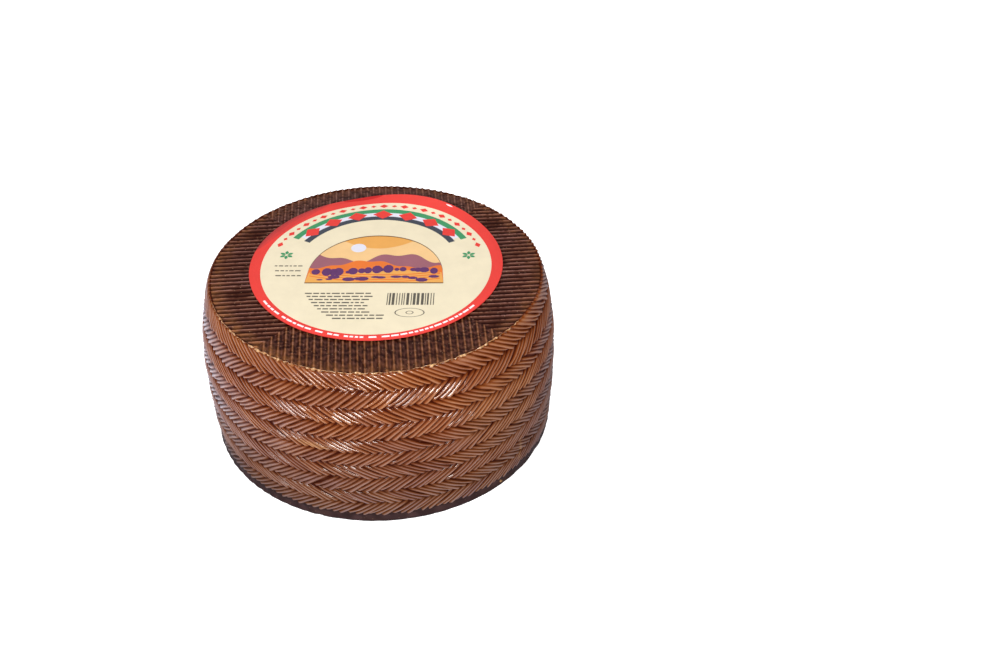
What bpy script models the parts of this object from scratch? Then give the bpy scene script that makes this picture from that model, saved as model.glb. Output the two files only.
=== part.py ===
# Cured sheep milk cheese: a whole wheel with a round paper label on its top face.
# Metres, +Z up. The origin is the centre of the flat base that the wheel stands on.
# Seen from the front, the viewer looks along +Y with +X to the right.
import math
import random

import bmesh
import bpy
from mathutils import Matrix, Vector

MM = 0.001

# Wheel
HEIGHT = 97.0 * MM            # base to top face
WIDEST_RADIUS = 97.8 * MM     # to the crests of the rind, where the side bulges most
WIDEST_SHARE = 0.51           # share of the height at which it bulges most
RIM_RADIUS = 89.2 * MM        # where side and top face would meet without the shoulder
FOOT_RADIUS = 95.2 * MM       # where side and base would meet without the foot's rounding
UPPER_BULGE_POWER = 2.4       # the side leans in late and firmly towards the rim
LOWER_BULGE_POWER = 2.2       # and softly towards the foot
SHOULDER_WIDTH = 1.0 * MM
SHOULDER_DROP = 0.9 * MM
FOOT_ROUNDING = 3.6 * MM
OVALITY = 0.35 * MM           # a pressed wheel is never quite round

# Plaited band pressed into the side
BANDS = 10
STRANDS = 46                  # strands round the wheel, alike in every band
FOOT_STRIP = 7.4 * MM         # smooth strip below the lowest band
RISING_SHARE = 0.526          # a rising band's share of a pair's height: it is a little taller
RISE_SHIFT = 1.0              # a rising strand runs this many strand widths along its band
FALL_SHIFT = 1.2              # a falling one runs this many
STRAND_DEPTH = 0.85 * MM      # crest to groove between strands
BAND_DEPTH = 0.80 * MM        # crest to groove between bands
STRAND_UNEVEN = 0.25 * MM     # how much lower than the next one a strand may lie
STRAND_COLUMNS = (0.0, 0.2, 0.8)    # groove, then both edges of the flat crest
BAND_ROWS = (0.0, 0.18, 0.82)       # groove, then both edges of the flat crest
SEED = 11

# Pressed ridges of the top face: four mitred fields round one centre
RIDGE_PITCH = 3.6 * MM
RIDGE_GROOVE_WIDTH = 2.2 * MM
RIDGE_GROOVE_DEPTH = 0.9 * MM
RIDGE_TURN = math.radians(5.5)
RIDGE_CENTRE = (0.0, 0.4 * MM)
RIDGE_EDGE_GAP = 1.0 * MM     # left plain between a groove's end and the shoulder
RIDGE_SHORTEST = 4.0 * MM

# Paper label
LABEL_RADIUS = 68.1 * MM
LABEL_THICKNESS = 0.3 * MM
LABEL_GAP = 0.3 * MM          # between the ridges' crests and the paper
LABEL_CENTRE = (0.5 * MM, 5.2 * MM)
LABEL_SIDES = 72
LABEL_RINGS = (0.0, 0.68, 0.78, 0.88, 1.0)    # shares of the radius
LIFT = 2.8 * MM               # how far the paper's edge has come up at its back right
LIFT_ANGLE = math.radians(68.0)
LIFT_SPREAD = math.radians(46.0)
LIFT_START = 0.66             # share of the radius from which the paper leaves the rind

COLUMNS = STRANDS * len(STRAND_COLUMNS)
BAND_TOP = HEIGHT - SHOULDER_DROP
PAIR_HEIGHT = (BAND_TOP - FOOT_STRIP) / (BANDS / 2)
TOP_FLAT_RADIUS = RIM_RADIUS - SHOULDER_WIDTH


def clear_scene():
    for old in list(bpy.data.objects):
        bpy.data.objects.remove(old, do_unlink=True)


def new_collection(name):
    collection = bpy.data.collections.new(name)
    bpy.context.scene.collection.children.link(collection)
    return collection


def new_object(name, mesh, collection):
    obj = bpy.data.objects.new(name, mesh)
    collection.objects.link(obj)
    return obj


def principled(name, colour, roughness, metallic=0.0):
    material = bpy.data.materials.new(name)
    material.use_nodes = True
    shader = material.node_tree.nodes["Principled BSDF"]
    shader.inputs["Base Color"].default_value = (*colour, 1.0)
    shader.inputs["Roughness"].default_value = roughness
    shader.inputs["Metallic"].default_value = metallic
    return material


def side_radius(height):
    """Radius of the barrel-shaped side at a height, to the crests of the rind."""
    share = height / HEIGHT
    if share > WIDEST_SHARE:
        lean = ((share - WIDEST_SHARE) / (1.0 - WIDEST_SHARE)) ** UPPER_BULGE_POWER
        return WIDEST_RADIUS - (WIDEST_RADIUS - RIM_RADIUS) * lean
    lean = ((WIDEST_SHARE - share) / WIDEST_SHARE) ** LOWER_BULGE_POWER
    return WIDEST_RADIUS - (WIDEST_RADIUS - FOOT_RADIUS) * lean


def band_floor(band):
    """Height of a band's lower border; the lowest band rises, the next one falls, and so on."""
    pairs, upper = divmod(band, 2)
    return FOOT_STRIP + (pairs + upper * RISING_SHARE) * PAIR_HEIGHT


def band_at(height):
    """The band at a height, and how far up the band the height lies, from 0 to 1."""
    height = min(max(height, FOOT_STRIP), BAND_TOP)
    band = max(index for index in range(BANDS) if band_floor(index) <= height)
    return band, (height - band_floor(band)) / (band_floor(band + 1) - band_floor(band))


def profile_rows():
    """The side's rows from the top face down: radius, height, and how deep the row's groove is."""
    rows = []
    shoulder_radius = side_radius(BAND_TOP)
    for turn in (0.0, 45.0):
        angle = math.radians(turn)
        radius = TOP_FLAT_RADIUS + (shoulder_radius - TOP_FLAT_RADIUS) * math.sin(angle)
        rows.append((radius, HEIGHT - SHOULDER_DROP * (1.0 - math.cos(angle)), 0.0))
    for band in reversed(range(BANDS)):
        for share in [1.0] + list(reversed(BAND_ROWS[1:])):
            height = band_floor(band) + share * (band_floor(band + 1) - band_floor(band))
            groove = BAND_DEPTH if share == 1.0 and band < BANDS - 1 else 0.0
            rows.append((side_radius(height), height, groove))
    rows.append((side_radius(FOOT_STRIP), FOOT_STRIP, BAND_DEPTH * 0.5))
    rounded_radius = side_radius(FOOT_ROUNDING)
    base_radius = rounded_radius - FOOT_ROUNDING
    for turn in (90.0, 45.0, 0.0):
        angle = math.radians(turn)
        radius = base_radius + FOOT_ROUNDING * math.sin(angle)
        rows.append((radius, FOOT_ROUNDING * (1.0 - math.cos(angle)), 0.0))
    return rows


def strand_shift(height):
    """How far along the band, in strand widths, a strand has run at a height."""
    whole, share = band_at(height)
    shift = sum(RISE_SHIFT if band % 2 == 0 else -FALL_SHIFT for band in range(whole))
    return shift + share * (RISE_SHIFT if whole % 2 == 0 else -FALL_SHIFT)


def turned_mesh(rows):
    """The rows as a profile at +X, turned once about Z by a Screw modifier."""
    profile = bpy.data.meshes.new("wheel_profile")
    points = [(radius, 0.0, height) for radius, height, _ in rows]
    edges = [(i, i + 1) for i in range(len(points) - 1)]
    profile.from_pydata(points, edges, [])
    turning = new_object("wheel_profile", profile, bpy.context.scene.collection)
    screw = turning.modifiers.new("Turn", "SCREW")
    screw.axis = "Z"
    screw.angle = math.tau
    screw.steps = COLUMNS
    screw.render_steps = COLUMNS
    screw.use_merge_vertices = True
    screw.merge_threshold = 0.00001
    evaluated = turning.evaluated_get(bpy.context.evaluated_depsgraph_get())
    mesh = bpy.data.meshes.new_from_object(evaluated)
    bpy.data.objects.remove(turning, do_unlink=True)
    return mesh


def press_plait(bm, rows):
    """Move the turned mesh's columns along the strands, and sink the grooves between them."""
    rng = random.Random(SEED)
    lower = [[rng.uniform(0.0, STRAND_UNEVEN) for _ in range(STRANDS)] for _ in range(BANDS)]
    for vert in bm.verts:
        column = round(math.atan2(vert.co.y, vert.co.x) / math.tau * COLUMNS) % COLUMNS
        strand, part = divmod(column, len(STRAND_COLUMNS))
        radius, height, groove = min(rows, key=lambda row: abs(row[1] - vert.co.z))
        angle = (strand + STRAND_COLUMNS[part] + strand_shift(height)) / STRANDS * math.tau
        in_plait = FOOT_STRIP < height < BAND_TOP
        if in_plait:
            groove = max(groove, STRAND_DEPTH if part == 0 else lower[band_at(height)[0]][strand])
        elif height == BAND_TOP:
            groove = STRAND_DEPTH * 0.5 if part == 0 else 0.0
        radius += OVALITY * math.cos(2.0 * angle + 0.6) - OVALITY - groove
        vert.co = Vector((radius * math.cos(angle), radius * math.sin(angle), height))


def ridge_cutters(collection):
    """Three-sided bars that press the V-shaped grooves of the top face, all in one cutter."""
    bm = bmesh.new()
    centre = Vector((*RIDGE_CENTRE, HEIGHT))
    reach = TOP_FLAT_RADIUS - RIDGE_EDGE_GAP - OVALITY * 2.0
    count = int(reach / RIDGE_PITCH)
    for field in range(4):
        turn = Matrix.Rotation(RIDGE_TURN + field * math.pi / 2.0, 4, "Z")
        outward = turn @ Vector((1.0, 0.0, 0.0))
        across = turn @ Vector((0.0, 1.0, 0.0))
        for step in range(-count, count):
            offset = (step + 0.5) * RIDGE_PITCH
            root = centre + across * offset
            flat = Vector((root.x, root.y, 0.0))
            along = flat.dot(outward)
            room = reach ** 2 - flat.length_squared + along ** 2
            if room <= 0.0:
                continue
            start = abs(offset) + RIDGE_PITCH / 2.0
            end = math.sqrt(room) - along
            if end - start < RIDGE_SHORTEST:
                continue
            # a three-sided cylinder lying along the groove, with one edge down
            lay = Matrix.Rotation(math.pi / 2.0, 4, "Y")
            width = RIDGE_GROOVE_WIDTH * math.cos(math.radians(30.0))
            shape = Matrix.Diagonal((1.0, width, RIDGE_GROOVE_DEPTH, 1.0))
            spin = Matrix.Rotation(math.pi, 4, "X")
            place = Matrix.Translation(root + outward * (start + end) / 2.0)
            bmesh.ops.create_cone(bm, cap_ends=True, segments=3, radius1=1.0, radius2=1.0,
                                  depth=end - start, matrix=place @ turn @ shape @ spin @ lay)
    bmesh.ops.recalc_face_normals(bm, faces=bm.faces)
    mesh = bpy.data.meshes.new("ridge_cutters")
    bm.to_mesh(mesh)
    bm.free()
    cutters = new_object("ridge_cutters", mesh, collection)
    cutters.hide_render = True
    cutters.display_type = "WIRE"
    return cutters


def make_wheel(collection, cutter_collection):
    rows = profile_rows()
    mesh = turned_mesh(rows)
    mesh.name = "cheese_wheel"
    bm = bmesh.new()
    bm.from_mesh(mesh)
    press_plait(bm, rows)
    bmesh.ops.triangulate(bm, faces=bm.faces, quad_method="SHORT_EDGE")
    bmesh.ops.holes_fill(bm, edges=bm.edges, sides=COLUMNS)
    bmesh.ops.recalc_face_normals(bm, faces=bm.faces)
    bm.to_mesh(mesh)
    bm.free()
    wheel = new_object("cheese_wheel", mesh, collection)
    pressing = wheel.modifiers.new("PressedRidges", "BOOLEAN")
    pressing.operation = "DIFFERENCE"
    pressing.solver = "EXACT"
    pressing.object = ridge_cutters(cutter_collection)
    mesh.materials.clear()
    mesh.materials.append(principled("rind", (0.17, 0.067, 0.03), 0.38))
    return wheel


def paper_lift(x, y):
    """How far the paper has come away from the rind, at a place measured from its middle."""
    outward = (math.hypot(x, y) / LABEL_RADIUS - LIFT_START) / (1.0 - LIFT_START)
    aside = abs(math.remainder(math.atan2(y, x) - LIFT_ANGLE, math.tau)) / LIFT_SPREAD
    if outward <= 0.0 or aside >= 1.0:
        return 0.0
    return LIFT * outward ** 2 * math.cos(aside * math.pi / 2.0) ** 2


def make_label(collection):
    """A round sheet turned from a radius, bent up at its back right, then given its thickness."""
    bm = bmesh.new()
    spokes = [bm.verts.new((LABEL_RADIUS * share, 0.0, 0.0)) for share in LABEL_RINGS]
    for inner, outer in zip(spokes, spokes[1:]):
        bm.edges.new((inner, outer))
    bmesh.ops.spin(bm, geom=bm.verts[:] + bm.edges[:], cent=(0.0, 0.0, 0.0), axis=(0.0, 0.0, 1.0),
                   angle=math.tau, steps=LABEL_SIDES, use_merge=True)
    bmesh.ops.remove_doubles(bm, verts=bm.verts, dist=0.01 * MM)
    for vert in bm.verts:
        vert.co.z = paper_lift(vert.co.x, vert.co.y)
    bmesh.ops.triangulate(bm, faces=bm.faces)
    raised = bmesh.ops.extrude_face_region(bm, geom=bm.faces[:], use_keep_orig=True)
    top = [item for item in raised["geom"] if isinstance(item, bmesh.types.BMVert)]
    bmesh.ops.translate(bm, verts=top, vec=(0.0, 0.0, LABEL_THICKNESS))
    bmesh.ops.recalc_face_normals(bm, faces=bm.faces)
    mesh = bpy.data.meshes.new("label")
    bm.to_mesh(mesh)
    bm.free()
    label = new_object("label", mesh, collection)
    label.location = Vector((*LABEL_CENTRE, HEIGHT + LABEL_GAP))
    mesh.materials.append(principled("label_paper", (0.86, 0.79, 0.58), 0.5))
    return label


def main():
    clear_scene()
    parts = new_collection("sheep_milk_cheese")
    cutters = new_collection("cutters")
    make_wheel(parts, cutters)
    make_label(parts)


main()
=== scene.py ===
import math

import bmesh
import bpy
import numpy as np
from mathutils import Matrix, Vector


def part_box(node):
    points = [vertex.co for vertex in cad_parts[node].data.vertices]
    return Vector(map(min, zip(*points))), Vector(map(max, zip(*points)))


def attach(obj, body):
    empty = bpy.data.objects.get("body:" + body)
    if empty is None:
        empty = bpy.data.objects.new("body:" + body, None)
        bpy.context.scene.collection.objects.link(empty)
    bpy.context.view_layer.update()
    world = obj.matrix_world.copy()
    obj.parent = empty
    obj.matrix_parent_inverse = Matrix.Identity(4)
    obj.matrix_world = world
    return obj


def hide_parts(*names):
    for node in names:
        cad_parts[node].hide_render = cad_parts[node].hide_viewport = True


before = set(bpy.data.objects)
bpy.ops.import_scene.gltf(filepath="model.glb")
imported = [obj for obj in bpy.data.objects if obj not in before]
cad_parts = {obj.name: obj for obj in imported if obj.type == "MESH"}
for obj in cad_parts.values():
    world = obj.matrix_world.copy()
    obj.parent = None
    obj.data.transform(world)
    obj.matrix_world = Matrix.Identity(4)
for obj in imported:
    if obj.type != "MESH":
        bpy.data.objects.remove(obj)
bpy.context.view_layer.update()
mm = 0.001
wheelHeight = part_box("cheese_wheel")[1].z
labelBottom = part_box("label")[0].z

# the wheel's own form, the same as the solid it stands for
form = {
    "widestRadius": 97.8 * mm,
    "widestShare": 0.51,
    "rimRadius": 89.2 * mm,
    "footRadius": 95.2 * mm,
    "upperPower": 2.4,
    "lowerPower": 2.2,
    "ovality": 0.35 * mm,
    "ovalTurn": 0.6,
    "rimSwell": 1.4 * mm,         # the rim is a little fuller behind and at the sides
    "swellSides": (-0.75, 0.20),  # sine of the angle where the swell starts and is full
    "swellHeights": (0.72, 1.0),  # the same as shares of the wheel's height
    "dents": 0.22 * mm,           # soft hollows left by handling
    "dentLength": 48.0 * mm,
}


# helpers

def softNoise(points, length, seed, terms=7):
    # smooth unevenness about `length` metres long, near -1 to 1
    rng = np.random.default_rng(seed)
    total = np.zeros(len(points))
    for _ in range(terms):
        direction = rng.normal(size=3)
        direction /= np.linalg.norm(direction)
        pace = math.tau / length * rng.uniform(0.7, 1.4)
        total += np.sin(points @ direction * pace + rng.uniform(0.0, math.tau))
    return total / math.sqrt(terms)


def smoothStep(low, high, value):
    share = np.clip((value - low) / (high - low), 0.0, 1.0)
    return share * share * (3.0 - 2.0 * share)


def turnTo(angle, target):
    # the turn from one angle to another, the short way round
    return (angle - target + math.pi) % math.tau - math.pi


def sideRadius(height):
    share = np.asarray(height, float) / wheelHeight
    widest = form["widestShare"]
    above = np.clip((share - widest) / (1.0 - widest), 0.0, 1.2) ** form["upperPower"]
    below = np.clip((widest - share) / widest, 0.0, 1.0) ** form["lowerPower"]
    upper = form["widestRadius"] - (form["widestRadius"] - form["rimRadius"]) * above
    lower = form["widestRadius"] - (form["widestRadius"] - form["footRadius"]) * below
    return np.where(share > widest, upper, lower)


def ovalOf(angle, height):
    # how far the side stands out or in at an angle
    oval = form["ovality"] * (np.cos(2.0 * angle + form["ovalTurn"]) - 1.0)
    swell = form["rimSwell"] * smoothStep(*form["swellSides"], np.sin(angle))
    return oval + swell * smoothStep(*form["swellHeights"], height / wheelHeight)


def meshOf(name, bm):
    mesh = bpy.data.meshes.new(name)
    bm.to_mesh(mesh)
    bm.free()
    return mesh


def readPoints(mesh):
    flat = np.empty(len(mesh.vertices) * 3)
    mesh.vertices.foreach_get("co", flat)
    return flat.reshape(-1, 3)


def writePoints(mesh, points):
    mesh.vertices.foreach_set("co", points.ravel())
    mesh.update()


def writeValue(mesh, name, values):
    attribute = mesh.attributes.new(name, "FLOAT", "POINT")
    attribute.data.foreach_set("value", np.asarray(values, np.float32))


def rollUp(columns, rows, shape, closed=True):
    # a grid rolled into a ring; `shape` gives the place and the values of each column and row
    bm = bmesh.new()
    lanes = rows if closed else rows - 1
    bmesh.ops.create_grid(bm, x_segments=columns, y_segments=lanes, size=1.0)
    mesh = meshOf("rolled", bm)
    flat = readPoints(mesh)
    column = np.rint((flat[:, 0] + 1.0) / 2.0 * columns).astype(int) % columns
    row = np.rint((flat[:, 1] + 1.0) / 2.0 * lanes).astype(int) % rows
    points, values = shape(column, row)
    writePoints(mesh, points)
    for name, value in values.items():
        writeValue(mesh, name, value)
    bm = bmesh.new()
    bm.from_mesh(mesh)
    bpy.data.meshes.remove(mesh)
    bmesh.ops.remove_doubles(bm, verts=bm.verts, dist=0.0005 * mm)
    bmesh.ops.recalc_face_normals(bm, faces=bm.faces)
    return bm


def joined(name, parts):
    # several finished meshes as one
    whole = bmesh.new()
    for bm in parts:
        part = meshOf("part", bm)
        whole.from_mesh(part)
        bpy.data.meshes.remove(part)
    return meshOf(name, whole)


def around(angle, radius, height):
    return np.stack([radius * np.cos(angle), radius * np.sin(angle), height], axis=1)


def place(name, mesh, material, node):
    piece = bpy.data.objects.new(name, mesh)
    bpy.context.scene.collection.objects.link(piece)
    mesh.materials.append(material)
    mesh.shade_smooth()
    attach(piece, "root")
    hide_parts(node)
    triangles = sum(len(face.vertices) - 2 for face in mesh.polygons)
    print(f"made {name}: {triangles} triangles")
    return piece


# materials

def newMaterial(name):
    material = bpy.data.materials.new(name)
    material.use_nodes = True
    nodes = material.node_tree.nodes
    return material, nodes, material.node_tree.links, nodes["Principled BSDF"]


def fill(node, values):
    for title, value in values.items():
        node.inputs[title].default_value = value
    return node


grainLook = {
    "mottle": {"Detail": 5.0, "Roughness": 0.62},
    "spread": {"From Min": 0.34, "From Max": 0.66},
    "grain": {"Detail": 4.0, "Roughness": 0.6},
    "speck": {"Scale": 420.0},
    "near": {"From Min": 0.16, "From Max": 0.05},     # distances from a speck's middle
}


def rindGrainGroup():
    # mottling, fine grain and pale specks of the coated rind, all in the wheel's own coordinates
    group = bpy.data.node_groups.new("rindGrain", "ShaderNodeTree")
    for title in ("Mottle Scale", "Grain Scale", "Speck Share"):
        group.interface.new_socket(title, in_out="INPUT", socket_type="NodeSocketFloat")
    for title in ("Mottle", "Grain", "Speck"):
        group.interface.new_socket(title, in_out="OUTPUT", socket_type="NodeSocketFloat")
    nodes, links = group.nodes, group.links
    inside, outside = nodes.new("NodeGroupInput"), nodes.new("NodeGroupOutput")
    where = nodes.new("ShaderNodeTexCoord")
    mottle = fill(nodes.new("ShaderNodeTexNoise"), grainLook["mottle"])
    spread = fill(nodes.new("ShaderNodeMapRange"), grainLook["spread"])
    grain = fill(nodes.new("ShaderNodeTexNoise"), grainLook["grain"])
    speck = fill(nodes.new("ShaderNodeTexVoronoi"), grainLook["speck"])
    near = fill(nodes.new("ShaderNodeMapRange"), grainLook["near"])
    thin = nodes.new("ShaderNodeMath")
    thin.operation = "MULTIPLY"
    for texture in (mottle, grain, speck):
        links.new(where.outputs["Object"], texture.inputs["Vector"])
    links.new(inside.outputs["Mottle Scale"], mottle.inputs["Scale"])
    links.new(inside.outputs["Grain Scale"], grain.inputs["Scale"])
    links.new(mottle.outputs["Fac"], spread.inputs["Value"])
    links.new(speck.outputs["Distance"], near.inputs["Value"])
    links.new(near.outputs["Result"], thin.inputs[0])
    links.new(inside.outputs["Speck Share"], thin.inputs[1])
    links.new(spread.outputs["Result"], outside.inputs["Mottle"])
    links.new(grain.outputs["Fac"], outside.inputs["Grain"])
    links.new(thin.outputs["Value"], outside.inputs["Speck"])
    return group


def mixColours(nodes, links, factor, first, second, blend="MIX"):
    mix = nodes.new("ShaderNodeMix")
    mix.data_type = "RGBA"
    mix.blend_type = blend
    for socket, value in ((mix.inputs[0], factor), (mix.inputs[6], first), (mix.inputs[7], second)):
        if isinstance(value, bpy.types.NodeSocket):
            links.new(value, socket)
        elif isinstance(value, tuple):
            socket.default_value = (*value, 1.0)
        else:
            socket.default_value = value
    return mix.outputs[2]


def addGrain(nodes, group, look):
    grain = nodes.new("ShaderNodeGroup")
    grain.node_tree = group
    return fill(grain, {"Mottle Scale": look["mottleScale"], "Grain Scale": look["grainScale"],
                        "Speck Share": look["speckShare"]})


def addFinish(nodes, links, shader, grain, look):
    # the grain makes the surface unevenly rough and a little bumpy
    gloss = fill(nodes.new("ShaderNodeMapRange"), {
        "To Min": look["roughness"] - look["roughnessSpread"],
        "To Max": look["roughness"] + look["roughnessSpread"],
    })
    bump = fill(nodes.new("ShaderNodeBump"), {
        "Strength": look["bump"], "Distance": look["bumpDepth"],
    })
    links.new(grain.outputs["Grain"], gloss.inputs["Value"])
    links.new(gloss.outputs["Result"], shader.inputs["Roughness"])
    links.new(grain.outputs["Grain"], bump.inputs["Height"])
    links.new(bump.outputs["Normal"], shader.inputs["Normal"])
    fill(shader, {"Specular IOR Level": look["specular"]})


def rindMaterial(name, group, look):
    material, nodes, links, shader = newMaterial(name)

    def attribute(title):
        node = nodes.new("ShaderNodeAttribute")
        node.attribute_name = title
        return node.outputs["Fac"]

    def scaled(value, factor):
        node = nodes.new("ShaderNodeMath")
        node.operation = "MULTIPLY"
        node.inputs[1].default_value = factor
        links.new(value, node.inputs[0])
        return node.outputs["Value"]

    grain = addGrain(nodes, group, look)
    # the relief picks the colour from the groove's to the crest's; on the plait and the top this is
    # painted shade in the grooves and painted highlight on the crests
    ramp = nodes.new("ShaderNodeValToRGB")
    stops = ramp.color_ramp.elements
    stops[0].position = 0.0
    stops[0].color = (*look["groove"], 1.0)
    stops[1].position = 1.0
    stops[1].color = (*look["crest"], 1.0)
    stops.new(look["bodyAt"]).color = (*look["body"], 1.0)
    links.new(attribute("relief"), ramp.inputs["Fac"])
    # painted reflection: lower on the wheel the brown turns to mauve, standing in for the pale
    # floor mirrored in the glossy rind
    where = nodes.new("ShaderNodeTexCoord")
    split = nodes.new("ShaderNodeSeparateXYZ")
    fall = fill(nodes.new("ShaderNodeMapRange"), {
        "From Min": look["paintedSheenFrom"], "From Max": look["paintedSheenTo"], "To Max": look["paintedSheenShare"],
    })
    links.new(where.outputs["Object"], split.inputs["Vector"])
    links.new(split.outputs["Z"], fall.inputs["Value"])
    colour = ramp.outputs["Color"]
    for share, tint, blend in (
        (fall.outputs["Result"], look["mauve"], "MULTIPLY"),
        (scaled(grain.outputs["Mottle"], look["warmShare"]), look["warm"], "MULTIPLY"),
        (scaled(attribute("tone"), look["toneShare"]), look["dull"], "MULTIPLY"),
        (grain.outputs["Speck"], look["pale"], "MIX"),
        (attribute("smear"), look["ochre"], "MIX"),
    ):
        colour = mixColours(nodes, links, share, colour, tint, blend)
    links.new(colour, shader.inputs["Base Color"])
    addFinish(nodes, links, shader, grain, look)
    links.new(scaled(attribute("gloss"), look["coat"]), shader.inputs["Coat Weight"])
    fill(shader, {"Coat Roughness": look["coatRoughness"], "Coat IOR": look["coatIndex"]})
    return material


def paperMaterial(name, group, colour, look):
    # printed paper: one colour with a little mottling, satin from the coated print
    material, nodes, links, shader = newMaterial(name)
    grain = addGrain(nodes, group, look)
    deep = tuple(part * look["deep"] for part in colour)
    links.new(mixColours(nodes, links, grain.outputs["Mottle"], colour, deep),
              shader.inputs["Base Color"])
    addFinish(nodes, links, shader, grain, look)
    return material


print("materials")
grainGroup = rindGrainGroup()
sideLook = {
    # groove and crest colours carry painted shade and painted highlight
    "groove": (0.045, 0.004, 0.0003),
    "body": (0.190, 0.045, 0.007),
    "crest": (0.43, 0.195, 0.090),
    "bodyAt": 0.48,
    # painted reflection of the pale floor, strongest low on the side
    "mauve": (0.72, 1.12, 2.1),
    "paintedSheenFrom": 72.0 * mm,
    "paintedSheenTo": 8.0 * mm,
    "paintedSheenShare": 0.9,
    "warm": (1.0, 0.86, 0.68),
    "warmShare": 0.5,
    "dull": (0.74, 0.75, 1.10),   # single strands are more mauve than others
    "toneShare": 0.7,
    "pale": (0.62, 0.40, 0.24),
    "ochre": (0.55, 0.30, 0.12),
    "mottleScale": 55.0,
    "grainScale": 1100.0,
    "speckShare": 0.12,
    "roughness": 0.50,
    "roughnessSpread": 0.16,
    "specular": 0.04,
    "coat": 1.0,                  # on the crests; the grooves are dull
    "coatRoughness": 0.08,
    "coatIndex": 1.8,
    "bump": 0.35,
    "bumpDepth": 0.25 * mm,
}
topLook = {
    **sideLook,
    "groove": (0.016, 0.0015, 0.0003),
    "body": (0.075, 0.021, 0.009),
    "crest": (0.33, 0.155, 0.108),
    "bodyAt": 0.5,
    "paintedSheenShare": 0.0,
    "ochre": (0.37, 0.143, 0.045),
    "coat": 0.66,
    "coatRoughness": 0.12,
    "coatIndex": 1.5,
    "mottleScale": 150.0,
    "speckShare": 0.25,
    "bump": 0.5,
}
footLook = {
    **sideLook,
    "groove": (0.022, 0.008, 0.006),
    "body": (0.029, 0.012, 0.010),
    "crest": (0.056, 0.026, 0.023),
    "paintedSheenShare": 0.0,
    "coat": 0.7,
}
burrLook = {
    **sideLook,
    "groove": (0.22, 0.085, 0.022),
    "body": (0.36, 0.17, 0.065),
    "crest": (0.64, 0.40, 0.20),
    "paintedSheenShare": 0.0,
}
paperLook = {
    "mottleScale": 90.0,
    "grainScale": 2600.0,
    "speckShare": 0.0,
    "deep": 0.94,
    "roughness": 0.42,
    "roughnessSpread": 0.08,
    "specular": 0.2,
    "bump": 0.12,
    "bumpDepth": 0.1 * mm,
}
sideRind = rindMaterial("sideRind", grainGroup, sideLook)
topRind = rindMaterial("topRind", grainGroup, topLook)
footRind = rindMaterial("footRind", grainGroup, footLook)
burrRind = rindMaterial("burrRind", grainGroup, burrLook)

# the plait pressed into the side

plait = {
    "bands": 10,
    "footStrip": 6.5 * mm,
    "shoulderDrop": 0.9 * mm,
    "risingShare": 0.526,         # a rising band's share of a pair's height
    "strands": (51, 49),          # in a rising and in a falling band
    "shift": (1.09, -1.22),       # strand widths that a strand runs along its band
    "ridges": 3,                  # fine ridges on one strand
    "ridgeShare": 0.952,          # share of a strand's width that they take
    "ridgeColumns": (0.0, 0.11, 0.29, 0.5, 0.71, 0.89),
    "gapColumns": (0.0, 0.35, 0.7),
    "ridgePower": 1.35,
    "ridgeDepth": (0.80 * mm, 0.52 * mm),     # at a strand's lower end, at its upper end
    "gapDepth": (0.98 * mm, 0.60 * mm),
    "tilt": 0.14 * mm,            # one edge of a strand stands proud of the other
    # rows up a band: share of its height, and mm in from the crests; the lower half is the same
    # for all bands, and the upper half of the top band stays full up to the rim
    "lowerRows": ((0.035, 1.7), (0.0, 0.75), (0.012, 0.28), (0.045, 0.05), (0.11, 0.0),
                  (0.20, 0.0), (0.31, 0.0), (0.43, 0.0)),
    "upperRows": ((0.55, 0.03), (0.67, 0.09), (0.78, 0.18), (0.88, 0.34), (0.96, 0.62),
                  (1.05, 1.0), (1.12, 1.3), (1.12, 4.0), (0.035, 4.0)),
    "topRows": ((0.55, 0.0), (0.67, 0.0), (0.78, 0.0), (0.88, 0.0), (0.96, 0.10), (1.04, 0.50),
                (1.06, 1.1), (0.90, 1.8), (0.80, 4.0), (0.035, 4.0)),
    "stagger": 0.85 * mm,         # saw-tooth along the bands' borders
    "tip": 0.50 * mm,             # the ridges' ends are round
    "borderWave": 0.30 * mm,
    "strandUneven": 0.12 * mm,
    "ridgeUneven": 0.16 * mm,
    "sideSlip": 0.04,             # of a strand's width, at random
    "bend": 0.10,                 # the same, for how far it is from straight
    "worn": (-0.6, 0.6, 0.7),     # a few strands are smoother: mean, spread and most
    "endSlip": 0.35 * mm,
    "waver": 0.05 * mm,           # along a ridge
    "waverPace": 9.0,
    "bandTurn": 0.71,             # radians from one band's start to the next one's
    "clearTop": 0.3 * mm,         # the strands stay this far below the top
    "noiseRadius": 90.0 * mm,
    "grooveShade": 0.92,             # painted shade in the grooves between the fine ridges
    "glossPower": 1.8,            # only the crests are glossy
    "markGain": 1.4,
    "seed": 23,
}
markTitles = ("angle", "height", "length", "width", "slope", "cut", "smear")
markRows = (
    # degrees from the front, height, half length and half width in mm, slope, cut in mm, smear
    (-0.4, 53.8, 4.6, 0.75, -28.0, 0.6, 0.0),
    (-16.5, 54.0, 12.0, 2.6, -4.0, 0.0, 0.35),
    (54.5, 18.0, 12.5, 0.8, 91.0, 0.0, 0.6),
    (45.1, 4.6, 1.1, 0.8, 0.0, 0.0, 0.9),
    (46.0, 56.0, 38.0, 32.0, 0.0, 0.0, 0.11),     # the right of the front is more golden
)
marks = [dict(zip(markTitles, row)) for row in markRows]


def markShare(mark, angle, height):
    # how much of a mark a place on the side has, from 0 to 1
    along = turnTo(angle, math.radians(mark["angle"] - 90.0)) * form["widestRadius"]
    upward = height - mark["height"] * mm
    slope = math.radians(mark["slope"])
    length = (along * math.cos(slope) + upward * math.sin(slope)) / (mark["length"] * mm)
    width = (upward * math.cos(slope) - along * math.sin(slope)) / (mark["width"] * mm)
    return smoothStep(1.0, 0.45, np.hypot(length, width))


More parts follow.
